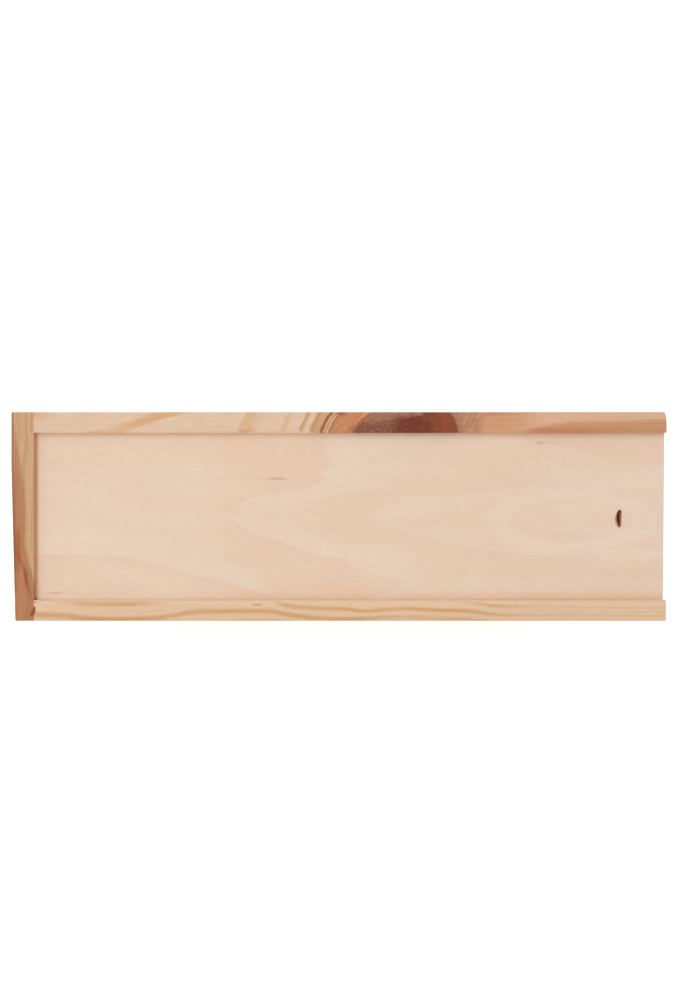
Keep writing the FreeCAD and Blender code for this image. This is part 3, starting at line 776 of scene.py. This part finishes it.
def lid_marks(finish, colour, top, face_up):
    """Short dark lines in the veneer, and painted shade and painted light where the box's boards stand over
    the lid.
    """
    x, y = finish.x, finish.y
    dash = finish.between(x, -37, -29, 3) * finish.stripe(y, 20.2, 1.0)
    tail = 0.2 * finish.between(x, -62, -36, 8) * finish.stripe(y, 20.6, 0.6)
    second = finish.between(x, 106, 109.5, 2) * finish.stripe(y, 39.5, 0.9)
    second_tail = 0.35 * finish.between(x, 110, 118, 3) * finish.stripe(y, 39.5, 0.8)
    third = finish.between(x, -155, -148, 2.5) * finish.stripe(y, -41, 0.9)
    colour = finish.layers(
        colour,
        (0.4 * face_up * (dash + tail + second + second_tail), tone(184, 130, 90)),
        (0.4 * face_up * third, tone(209, 152, 96)),
    )
    # Painted shade: the lid's top is darkened in a strip beside the closed end, more faintly along the near
    # side, and in a faint band a little way from the far side.
    beside_end = finish.between(x, -163.4, -161.4, 0.6)
    beside_near = 0.4 * finish.step(y, -39, -44) * finish.step(x, -130, 60)
    beside_far = finish.between(y, 41.7, 43.5, 0.9)
    lid_painted_shade = beside_end.at_least(beside_near) * finish.step(finish.z, top - 0.5, top - 0.2)
    colour = finish.shaded_with(lid_painted_shade, colour, tone(246, 229, 208))
    colour = finish.shaded_with(beside_far * face_up, colour, tone(246, 249, 248))
    # Painted light: a thin strip of the lid right against the far side is made 12 % lighter.
    colour = finish.shade(colour, 1 + 0.12 * finish.between(y, 44.1, 44.8, 0.1) * face_up)
    # Painted shade: a dark dot on the lid at its corner by the closed end and the near side.
    from_shaded_corner = ((x + 162.6) ** 2.0 + (y + 44.2) ** 2.0) ** 0.5
    return finish.blend(0.6 * finish.step(from_shaded_corner, 1.0, 0.4) * face_up, colour, tone(132, 94, 56))


def nail_notch(finish, colour, under, top, face_up):
    """The scorched notch, with painted light on its floor and straight wall, and a reddish tint beside it."""
    x, y, z = finish.x, finish.y, finish.z
    # A reddish tint on the top face along the notch's straight edge.
    reddish_rim = finish.between(x, 150.9, 152.0, 0.4) * finish.between(y, -5.2, 3.0, 1)
    colour = finish.blend(0.35 * reddish_rim * face_up, colour, tone(196, 130, 98))
    around = finish.between(x, 145.5, 152.5, 0.4) * finish.between(y, -8.5, 6, 0.4)
    sunk = finish.step(z, top - 0.08, top - 0.25) * finish.step(z, under + 0.5, under + 0.9) * around
    arc = x - 0.07 * (y + 1.1) ** 2.0
    # The floor is scorched dark. Painted light on it: paler towards the straight edge, lighter still on the
    # straight wall where the lamp falls on it, and a pale strip by the arc that lifts the wall's shadow
    # there.
    scorch_and_painted_light = finish.layers(
        finish.blend(finish.step(x, 150.75, 151.7), tone(84, 40, 18), tone(205, 150, 118)),
        (finish.step(finish.facing[0], -0.5, -0.8), tone(208, 140, 108)),
        (finish.step(arc, 149.85, 148.9), tone(230, 202, 180)),
    )
    return finish.blend(sunk, colour, scorch_and_painted_light)


def lid_wood():
    finish = Finish("lid_plywood", 0.55, 0.15)
    under, top = (1000 * corner.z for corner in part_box("sliding_lid"))
    face_up = finish.step(finish.z, top - 0.3, top - 0.1)
    colour = plywood(finish, under, lid_figure(finish), 47.0)
    # Painted light: the lid gets a little more green and blue towards the open end to offset the lamp's
    # falloff there.
    falloff_painted_light = finish.blend(finish.step(finish.x, 50, 150), (1, 1, 1, 1), (1, 1.012, 1.045, 1))
    colour = finish.blend(1.0, colour, falloff_painted_light, "MULTIPLY")
    colour = lid_marks(finish, colour, top, face_up)
    return finish.paint(nail_notch(finish, colour, under, top, face_up))


sliding_lid = shaped_board("sliding_lid", 0.0002)
sliding_lid.data.materials.append(lid_wood())
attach(sliding_lid, "lid")
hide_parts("sliding_lid")


# Studio. A white floor that keeps the box's shadow, a soft lamp high on the left behind the box and an
# even pale surround. The camera hangs straight over the box.

floor_mesh = bpy.data.meshes.new("floor")
reach = 4.0
floor_corners = [(-reach, -reach, 0), (reach, -reach, 0), (reach, reach, 0), (-reach, reach, 0)]
floor_mesh.from_pydata(floor_corners, [], [(0, 1, 2, 3)])
floor = bpy.data.objects.new("floor", floor_mesh)
bpy.context.scene.collection.objects.link(floor)


def looked_at(tree):
    """1 for rays that show the surroundings, straight or in a gloss or glass, and 0 for rays that light."""
    rays = tree.nodes.new("ShaderNodeLightPath").outputs
    share = rays["Is Camera Ray"]
    for kind in ("Is Glossy Ray", "Is Transmission Ray"):
        either = tree.nodes.new("ShaderNodeMath")
        either.operation = "MAXIMUM"
        tree.links.new(share, either.inputs[0])
        tree.links.new(rays[kind], either.inputs[1])
        share = either.outputs[0]
    return share


white = (1, 1, 1, 1)
floor_glow = 0.53
floor_finish = Finish("floor_white", 0.9, 0.0)
floor_finish.surface.inputs["Base Color"].default_value = (0.9, 0.9, 0.9, 1)
floor_finish.surface.inputs["Emission Color"].default_value = white
seen = Amount(floor_finish, looked_at(floor_finish.tree))
glow_socket = floor_finish.surface.inputs["Emission Strength"]
floor_finish.tree.links.new((floor_glow * seen).socket, glow_socket)
floor_mesh.materials.append(floor_finish.material)

world = bpy.data.worlds.new("surround")
bpy.context.scene.world = world
world.use_nodes = True
surround = world.node_tree.nodes.new("ShaderNodeMix")
surround.data_type = "RGBA"
surround.inputs[6].default_value = (0.72, 0.70, 0.677, 1)
surround.inputs[7].default_value = white
world.node_tree.links.new(looked_at(world.node_tree), surround.inputs[0])
world.node_tree.links.new(surround.outputs[2], world.node_tree.nodes["Background"].inputs["Color"])

lamp = bpy.data.lights.new("softbox", "AREA")
lamp.shape = "DISK"
lamp.size = 1.13
lamp.energy = 14.8
softbox = bpy.data.objects.new("softbox", lamp)
softbox.location = (-0.83, 0.75, 2.19)
softbox.rotation_euler = (-softbox.location).to_track_quat("-Z", "Y").to_euler()
bpy.context.scene.collection.objects.link(softbox)

camera_data = bpy.data.cameras.new("camera")
camera = bpy.data.objects.new("camera", camera_data)
bpy.context.scene.collection.objects.link(camera)
bpy.context.scene.camera = camera
top_of_box = cad_bounds[1].z
height_over_box = 0.8
seen_height = 0.5338
camera_data.lens = camera_data.sensor_width * height_over_box / seen_height
camera.location = (0.00056, 0.0088, top_of_box + height_over_box)

bpy.context.scene.view_settings.view_transform = "Standard"
